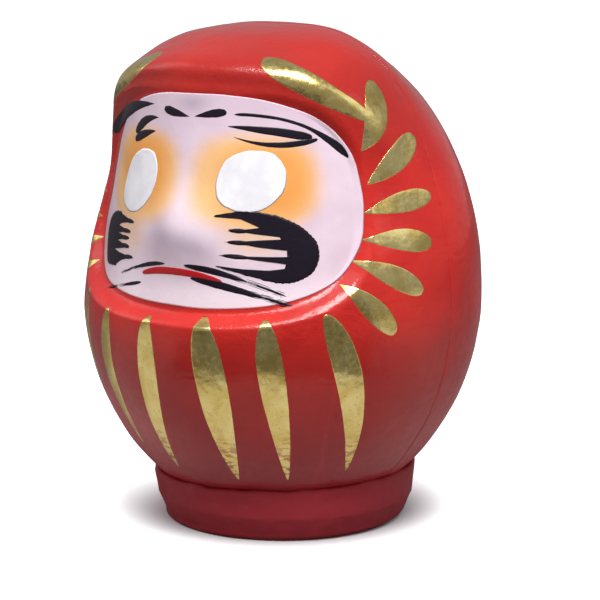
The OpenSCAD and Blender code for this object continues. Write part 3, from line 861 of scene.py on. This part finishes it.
LOW_ROUND, TOP_ROUND = 2.4, 0.9
FOOT_LOW_R = 34.6
neck = float(skin_radius(180.0, FOOT_TOP)) - 0.4
loop = [(CARD_R, 0.0)]
loop += arc_points((FOOT_LOW_R - LOW_ROUND, LOW_ROUND), LOW_ROUND, -90, -8, 8)
loop += [(COLLAR_R - 0.9, 7.0)]
loop += arc_points((COLLAR_R - TOP_ROUND, FOOT_TOP - TOP_ROUND), TOP_ROUND, 0, 90, 7)
loop += [(neck, FOOT_TOP), (CARD_R, SHELL_FOOT), (CARD_R, 0.0)]
profile = along_path(loop, 0.6)[:-1]
turns = 241
points = [(k * 360.0 / (turns - 1), p[1], p[0]) for p in profile + profile[:1] for k in range(turns)]
collar = grid_mesh("collar", points, sheet_faces(len(profile) + 1, turns, 0, False))
collar = grow(link_new("paper_foot_collar", collar), collar_tree(), Lump=0.6, Torn_Edge=1.1,
              Material=FOOT_RED)
settle(collar, "red_lacquer_paper", "foot_wrap")
for name, look in (("foot_weight", clay_look()), ("base_card", card_look())):
    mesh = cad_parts[name].data
    mesh.materials.clear()
    mesh.materials.append(look)

# ---------------------------------------------------------------- the face

# Reach of the white coat: degrees to the doll's left and right, and millimetres up and down
COAT_LEFT, COAT_RIGHT_LOW, COAT_RIGHT_HIGH, COAT_UP, COAT_DOWN = 57.4, 57.0, 45.0, 28.4, 27.2


def brushed_edge():
    """The white coat's edge: a little up the wall on the doll's left, narrower on its right."""
    places = []
    for a, z in round_outline((0.0, 0.0), (1.0, 1.0), FACE_CORNER, 0.0, 420, 0.0035, 1):
        v = z * (COAT_UP if z > 0 else COAT_DOWN)
        right = COAT_RIGHT_LOW + (COAT_RIGHT_HIGH - COAT_RIGHT_LOW) * smooth(-26.0, 3.0, v)
        places.append((a * (COAT_LEFT if a > 0 else right), FACE_Z + v))
    return places


coat = outline_pattern("face_coat", brushed_edge(), 110, -0.05, 0.2)
settle(grow(link_new("painted_face", coat), WRAP, Material=FACE), "face_white", "face_coat")
for name, mid, half, lean in (("eye_white_left", (21.9, 101.2), (11.3, 8.1), 0.2),
                              ("eye_white_right", (-22.4, 99.2), (8.9, 8.7), 0.3)):
    pattern = outline_pattern(name, round_outline(mid, half, 2.15, lean, 120, 0.009, 2), 24, 0.15, 0.27)
    settle(grow(link_new("painted_" + name, pattern), WRAP, Material=CHALK), "eye_white", name)

STROKE = stroke_tree()
COAT_T = 0.2
# How a stroke tapers at its start and end
SWELL, LEAF, DROP, LATE = (1.0, 0.42), (0.55, 0.72), (1.0, 0.5), (0.5, 0.51)


def stroke(name, places, width, taper, look, base=0.0, thick=0.1, wobble=0.06, seed=0, steps=61,
           loop=17, late=0.0):
    """One stroke on the skin, as its own mesh object."""
    (a0, z0), (a1, z1), (a2, z2) = places
    mid = places[1]
    degree = float(skin_radius(mid[0], mid[1])) * math.pi / 180
    return grow(link_new(name, grid_mesh(name, [(0, 0, 0)], [])), STROKE,
                Start_Angle=float(a0), Start_Height=float(z0), Bend_Angle=float(a1),
                Bend_Height=float(z1), End_Angle=float(a2), End_Height=float(z2),
                Half_Width=float(width), Start_Taper=taper[0], End_Taper=taper[1], Pressed_Late=late,
                Millimetres_A_Degree=degree, Base=base, Thickness=thick, Wobble=wobble,
                Seed=float(seed), Steps=steps, Loop=loop, Material=look)


def joined(name, parts):
    """Several meshes with one material as a single piece."""
    if len(parts) > 1:
        made = bpy.data.meshes.new(name)
        points, faces, maps, count = [], [], [], 0
        for part in parts:
            mesh = part.data
            points += [tuple(v.co) for v in mesh.vertices]
            faces += [tuple(i + count for i in p.vertices) for p in mesh.polygons]
            count += len(mesh.vertices)
            if "stroke_map" in mesh.attributes:
                maps += [tuple(d.vector) for d in mesh.attributes["stroke_map"].data]
        made.from_pydata(points, [], faces)
        made.shade_smooth()
        made.materials.append(parts[-1].data.materials[0])
        if len(maps) == len(made.loops):
            layer = made.attributes.new("stroke_map", "FLOAT2", "CORNER")
            layer.data.foreach_set("vector", [c for m in maps for c in m])
        for part in parts:
            bpy.data.objects.remove(part)
        return link_new(name, made)
    parts[0].name = name
    return parts[0]


def curve_at(places, t):
    start, bend, end = (np.array(p, float) for p in places)
    return start * (1 - t) ** 2 + bend * 2 * t * (1 - t) + end * t * t


def part_of(places, t0, t1):
    """The part of a curved stroke between two shares of its length."""
    start, end = curve_at(places, t0), curve_at(places, t1)
    return [start, 2 * curve_at(places, (t0 + t1) / 2) - (start + end) / 2, end]


def dry_brush(name, places, width, span, lanes, seed):
    """The streaks that a drying brush leaves: broken slivers side by side along a stroke."""
    random = np.random.default_rng(seed)
    points, faces = [], []
    for lane in range(lanes):
        side = (2 * (lane + 0.5) / lanes - 1) * width + random.uniform(-0.05, 0.05)
        t = span[0] + random.uniform(-0.06, 0.08)
        while t < span[1]:
            t_end = min(span[1] + random.uniform(-0.03, 0.05), t + random.uniform(0.06, 0.24))
            half = random.uniform(0.10, 0.20) * (1 - 0.4 * (t - span[0]) / (span[1] - span[0]))
            first, steps = len(points), 6
            for k in range(steps + 1):
                at = t + (t_end - t) * k / steps
                here, run = curve_at(places, at), curve_at(places, at + 0.01) - curve_at(places, at - 0.01)
                run = run / np.hypot(run[0] * 0.8, run[1])
                off = np.array([-run[1] / 0.8, run[0] * 0.8])
                open_w = half * math.sin(math.pi * (0.06 + 0.88 * k / steps)) * random.uniform(0.9, 1.1)
                for w, lift in ((-open_w, 0.17), (0.0, 0.25), (open_w, 0.17), (0.0, 0.13)):
                    points.append((*(here + off * (side + w)), lift))
            for k in range(steps):
                for c in range(4):
                    a, b = first + 4 * k + c, first + 4 * k + (c + 1) % 4
                    faces.append((a, a + 4, b + 4, b))
            faces.append(tuple(first + c for c in range(4)))
            faces.append(tuple(first + 4 * steps + c for c in (3, 2, 1, 0)))
            t = t_end + random.uniform(0.005, 0.05)
    return grow(link_new(name, grid_mesh(name, points, faces)), WRAP, Material=INK)


# Each brushed line: its name, start, bend and end, half width, taper, and lanes of drying hairs
BRUSHED = [
    ("brow_mark_left", [(1, 117.4), (7, 118.4), (13, 118.8)], 1.1, SWELL, 0),
    ("brow_mark_right", [(-1, 117.3), (-7, 117.9), (-12.5, 119)], 1.1, SWELL, 0),
    ("brow_top_left", [(15.7, 118.4), (40, 119.5), (55, 107.0)], 1.15, LATE, 0),
    ("brow_top_right", [(-18, 119.8), (-35, 119.5), (-56, 110)], 2.1, SWELL, 0),
    ("brow_middle_left", [(13.5, 115.2), (28, 115), (42, 112.6)], 1.15, (0.75, 0.28), 0),
    ("brow_middle_right", [(-15, 116.4), (-23, 116.6), (-28, 111.6)], 1.35, SWELL, 0),
    ("brow_low_left", [(15.6, 112.6), (30, 109.2), (43.9, 112.3)], 0.78, SWELL, 0),
    ("brow_low_right", [(-15.9, 112.9), (-22, 112.2), (-28, 109.8)], 1.25, SWELL, 0),
    ("mouth_line_left", [(2, 78.9), (16, 77.8), (33.2, 71.6)], 0.85, LEAF, 5),
    ("mouth_line_right", [(-3, 78.9), (-14, 78.6), (-27, 73.8)], 0.6, LEAF, 3),
    ("chin_line_left", [(4, 75.6), (18, 73.8), (34.5, 69.2)], 1.0, LEAF, 6),
    ("chin_line_right", [(-12.9, 73.3), (-23, 71.2), (-34.5, 68.9)], 0.5, LEAF, 3),
]
# The share of a drying line that is still full of ink
SOLID = {"mouth_line_left": (0.0, 0.66), "mouth_line_right": (0.1, 0.75), "chin_line_left": (0.0, 0.78),
         "chin_line_right": (0.15, 0.6)}
for seed, (name, places, width, taper, lanes) in enumerate(BRUSHED):
    late = 1.0 if taper is LATE else 0.0
    solid = SOLID.get(name, (0.0, 1.0))
    parts = [stroke(name, part_of(places, *solid), width, taper, INK, COAT_T, 0.1, 0.12, seed, late=late)]
    if lanes:
        parts.append(dry_brush(name, places, width * 0.85, (solid[1] * 0.55, 0.97), lanes, seed))
        parts.append(stroke(name, part_of(places, 0.72, 1.0), width * 0.38, LEAF, INK, COAT_T, 0.07, 0.3,
                            seed + 50, 41, 9))
    settle(joined("ink_" + name, parts), "black_ink", name)
mouth = stroke("mouth_red", [(-15.7, 75.2), (-2, 78.9), (14, 75.2)], 1.0, (0.35, 0.45), MOUTH, COAT_T,
               0.1, 0.1, 40)
settle(joined("paint_mouth_red", [mouth]), "mouth_red", "mouth_red")

# Each moustache: its side, and rows of places on its round edge, its middle and its cut points
MOUSTACHES = {
    "moustache_left": (1, [
        ((12, 79.0), (11.8, 79.15), (11.5, 79.3)), ((20, 77.2), (20, 77.9), (20, 78.6)),
        ((28, 75.4), (29, 77.2), (28, 78.4)), ((31.5, 74.9), (33, 77.5), (32.6, 78.9)),
        ((34.5, 74.9), (34.2, 79.4), (33, 80.1)), ((36.5, 75.3), (34.4, 80.3), (24, 80.9)),
        ((38.5, 76), (34.5, 80.9), (13.7, 82)), ((40.5, 77), (34.5, 81.4), (24, 81.9)),
        ((42, 78.4), (34.5, 82), (33.4, 81.8)), ((43.2, 80.6), (34.4, 83.2), (33.2, 83.5)),
        ((43.5, 82.2), (34.2, 83.9), (24, 84.3)), ((43.3, 84.2), (33.9, 84.6), (15.1, 85.5)),
        ((42.5, 86), (33.5, 85.3), (24, 86.1)), ((41.3, 87.2), (33, 86.1), (31.5, 86.4)),
        ((39.5, 88.7), (32.4, 86.8), (31, 87)), ((37.5, 90), (31, 87.4), (24, 87.6)),
        ((35.3, 91), (29.5, 88), (15.5, 88.5)), ((32.5, 92), (27.5, 88.8), (22, 89)),
        ((29, 92.9), (26.2, 89.7), (25, 89.3)), ((20, 93.6), (19.2, 92.2), (19, 91.4)),
        ((10.8, 92.3), (10.6, 92.1), (10.5, 91.9)),
    ]),
    "moustache_right": (-1, [
        ((31, 75.3), (31.3, 75.6), (31, 75.9)), ((34, 75), (33, 76.5), (28, 77.2)),
        ((37.5, 74.8), (34.5, 77.6), (21.5, 78.7)), ((40, 75.2), (34.8, 78.8), (30, 79.1)),
        ((41.5, 76.4), (34.8, 79.7), (34, 79.6)), ((42.6, 78.2), (34.5, 80.6), (28, 80.4)),
        ((43.3, 80), (34.3, 81.4), (24, 81.2)), ((43.5, 82), (34, 82.3), (32, 82.2)),
        ((43.2, 84.2), (33.8, 83.3), (24.5, 83.5)), ((42.4, 86), (33.8, 84.3), (32, 84.2)),
        ((41, 87.6), (33.6, 85.3), (24, 85.3)), ((38.5, 89), (33.5, 86.2), (32, 86.2)),
        ((36, 89.8), (33, 87), (30, 87)), ((33, 90), (32.5, 88), (22.5, 88)),
        ((31, 89.8), (31, 89.5), (30, 89.3)),
    ]),
}


def finer(points, count):
    """A smooth curve through points, with count steps for each."""
    points = [np.array(p, float) for p in points]
    curve = []
    for i in range(len(points) - 1):
        p0, p1 = points[max(i - 1, 0)], points[i]
        p2, p3 = points[i + 1], points[min(i + 2, len(points) - 1)]
        for k in range(count):
            t = k / count
            curve.append(0.5 * (2 * p1 + (p2 - p0) * t + (2 * p0 - 5 * p1 + 4 * p2 - p3) * t * t
                                + (3 * p1 - p0 - 3 * p2 + p3) * t ** 3))
    return curve + [points[-1]]


def straight(points, count):
    points = [np.array(p, float) for p in points]
    line = [a + (b - a) * k / count for a, b in zip(points, points[1:]) for k in range(count)]
    return line + [points[-1]]


def moustache_pattern(name, rows, side, low, high):
    """A closed pad between a round outer edge and an inner edge cut into points."""
    outer, middle, inner = zip(*rows)
    bands = zip(finer(outer, 8), finer(middle, 8), straight(inner, 8))
    grid = []
    for row, (o, m, i) in enumerate(bands):
        rough = 0.10 * math.sin(row * 2.3) + 0.08 * math.sin(row * 5.1)
        o = o + (o - m) / (np.hypot(*(o - m)) + 0.1) * rough
        grid.append([o + (m - o) * k / 8 for k in range(8)] + [m + (i - m) * k / 10 for k in range(11)])
    n, m = len(grid), len(grid[0])
    points = []
    for level in (high, low):
        for i, row in enumerate(grid):
            for k, p in enumerate(row):
                rim = i in (0, n - 1) or k in (0, m - 1)
                points.append((side * p[0], p[1], low if rim else level))
    faces = sheet_faces(n, m, 0, side < 0) + sheet_faces(n, m, n * m, side > 0)
    return grid_mesh(name, points, faces)


for name, (side, rows) in MOUSTACHES.items():
    pad = grow(link_new(name, moustache_pattern(name, rows, side, 0.16, 0.30)), WRAP, Material=INK)
    random = np.random.default_rng(90 + side)
    inner = [np.array(row[2], float) for row in rows]
    parts = [pad]
    for before, tip, after in zip(inner, inner[1:], inner[2:]):
        if tip[0] < before[0] and tip[0] < after[0]:
            way = tip - (before + after) / 2
            core = [tip - way * 0.95, tip - way * 0.45, tip]
            parts.append(stroke(name, [(side * p[0], p[1]) for p in core], 0.62, (0.8, 0.62), INK,
                                COAT_T, 0.1, 0.15, 55, 41, 13))
            for k in range(3):
                start = tip - way * random.uniform(0.5, 0.9) + (0, random.uniform(-0.35, 0.35))
                end = tip + way * random.uniform(-0.15, 0.10) + (0, random.uniform(-0.4, 0.4))
                places = [(side * p[0], p[1]) for p in (start, (start + end) / 2, end)]
                parts.append(stroke(name, places, random.uniform(0.08, 0.17), (0.5, 0.9), INK,
                                    COAT_T, 0.08, 0.2, 60 + k, 25, 9))
    settle(joined("ink_" + name, parts), "black_ink", name)

# ---------------------------------------------------------------- the foil strokes

# Foil strokes: start, bend and end, and half width
CHEST = [
    ([(-41.5, 68), (-46, 54), (-49.5, 26)], 3.0), ([(-26, 65), (-30, 48), (-28, 25)], 2.9),
    ([(-8.5, 65), (-10, 45), (-12, 20)], 3.3), ([(9.2, 66), (12.5, 46), (14.5, 18.5)], 4.5),
    ([(27.2, 66), (28.5, 50), (34, 19)], 3.6), ([(43.4, 67.5), (52.5, 52), (56, 21)], 3.8),
]
FAN = [
    ([(68, 114), (49.5, 124), (24, 132.3)], 3.2), ([(57.5, 109), (65, 115), (67, 127)], 4.2),
    ([(59, 100), (69, 105), (80.5, 112)], 3.5), ([(57.3, 92.7), (69, 95), (82.5, 96)], 2.8),
    ([(56, 85.8), (68, 86), (79.5, 83.5)], 3.0), ([(52.5, 80.5), (63, 77.5), (74, 71)], 3.0),
    ([(48.5, 74.7), (55.5, 70.5), (64, 61)], 3.1),
]
for i, (places, width) in enumerate(CHEST):
    name = f"chest_foil_{i + 1}"
    piece = stroke("gold_" + name, places, width, LEAF, FOIL, 0.0, 0.07, 0.05, 100 + i, 121, 33)
    settle(piece, "gold_foil", name)
for side, hand in ((1, "left"), (-1, "right")):
    for i, (places, width) in enumerate(FAN):
        name = f"fan_foil_{hand}_{i + 1}"
        places = [(side * a, z) for a, z in places]
        piece = stroke("gold_" + name, places, width, DROP, FOIL, 0.0, 0.07, 0.05,
                       120 + 10 * side + i, 91, 33)
        settle(piece, "gold_foil", name)

# ---------------------------------------------------------------- floor, light and camera

floor = grid_mesh("pale_floor", [(x * 3.0, y * 3.0, 0.0) for x, y in ((-1, -1), (1, -1), (1, 1), (-1, 1))],
                  [(0, 1, 2, 3)])
floor.materials.append(floor_look())
link_new("pale_floor", floor)

AZIMUTH, ELEVATION, DISTANCE = math.radians(32.0), math.radians(9.54), 0.6409
right = Vector((math.cos(AZIMUTH), math.sin(AZIMUTH), 0.0))
back = Vector((math.sin(AZIMUTH) * math.cos(ELEVATION), -math.cos(AZIMUTH) * math.cos(ELEVATION),
               math.sin(ELEVATION)))
up = back.cross(right)
middle = Vector((0.0, 0.0, DOLL_H * MM / 2))
camera = bpy.data.objects.new("camera", bpy.data.cameras.new("camera"))
bpy.context.scene.collection.objects.link(camera)
camera.data.lens = 135.2
camera.location = middle + back * DISTANCE
aim = middle + right * 0.00496 - up * 0.00846
camera.rotation_euler = (camera.location - aim).to_track_quat("Z", "Y").to_euler()
bpy.context.scene.camera = camera


def softbox(name, azimuth, elevation, distance, size, watts, colour=(1, 1, 1), card=False):
    """A square soft light that looks at the middle of the doll; a card shows only in reflections."""
    light = bpy.data.lights.new(name, "AREA")
    light.shape = "RECTANGLE"
    light.size, light.size_y = size
    light.energy = watts
    light.color = colour
    lamp = bpy.data.objects.new(name, light)
    a, e = math.radians(azimuth), math.radians(elevation)
    lamp.location = middle + distance * Vector((math.sin(a) * math.cos(e), -math.cos(a) * math.cos(e),
                                                math.sin(e)))
    lamp.rotation_euler = (lamp.location - middle).to_track_quat("Z", "Y").to_euler()
    lamp.visible_diffuse = not card
    bpy.context.scene.collection.objects.link(lamp)


softbox("key_softbox", 38, 62, 0.9, (0.48, 0.40), 11.0)
softbox("left_fill", -75, 35, 1.1, (0.5, 0.7), 1.2, (0.95, 0.96, 1.0))
softbox("high_card", 20, 60, 1.0, (1.1, 0.5), 1.6, card=True)
softbox("right_card", 105, 32, 1.0, (0.6, 0.5), 0.6, card=True)

GLOSSY_WORLD, DIFFUSE_WORLD = 0.30, 0.3
world = bpy.data.worlds.new("studio")
bpy.context.scene.world = world
world.use_nodes = True
tree = world.node_tree
path = tree.nodes.new("ShaderNodeLightPath")
shade = tree.nodes["Background"]
glossy = Sum(tree, path.outputs["Is Glossy Ray"])
seen = Sum(tree, path.outputs["Is Camera Ray"])
join(tree, (0.96, 0.94, 1.0, 1), shade.inputs["Color"])
join(tree, glossy * (GLOSSY_WORLD - DIFFUSE_WORLD) + seen * (1.0 - DIFFUSE_WORLD) + DIFFUSE_WORLD,
     shade.inputs["Strength"])
bpy.context.scene.view_settings.view_transform = "Standard"
